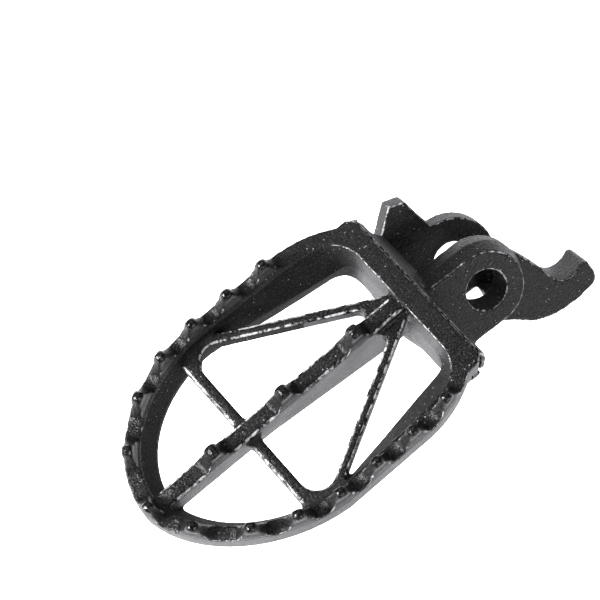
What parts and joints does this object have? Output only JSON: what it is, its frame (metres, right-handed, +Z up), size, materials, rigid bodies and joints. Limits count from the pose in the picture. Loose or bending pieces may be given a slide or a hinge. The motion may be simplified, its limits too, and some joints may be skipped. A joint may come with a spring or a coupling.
{
  "type": "motorcycle foot peg",
  "caption": "Right-hand motocross foot peg: toothed open platform welded to a two-eared clevis bracket with a hooked fold stop.",
  "frame": {"origin": "on the axis of the pivot bore, midway between the outer faces of the two ears", "axes": "+X outboard along the peg, +Y forward, +Z up; the pivot axis rises forward by 46.5 degrees and leans outboard by 6.5 degrees"},
  "size_m": [0.122, 0.0548, 0.0542],
  "materials": {
    "platform_casting": "satin black powder coat on pebbly cast steel",
    "clevis_casting": "satin black powder coat on smoother cast steel",
    "weld_bead": "satin black powder coat on ground-down weld"
  },
  "bodies": {
    "root": {"tread": "platform_casting", "clevis": "clevis_casting", "weld_front": "weld_bead", "weld_rear": "weld_bead", "weld_under": "weld_bead"}
  },
  "joints": []
}
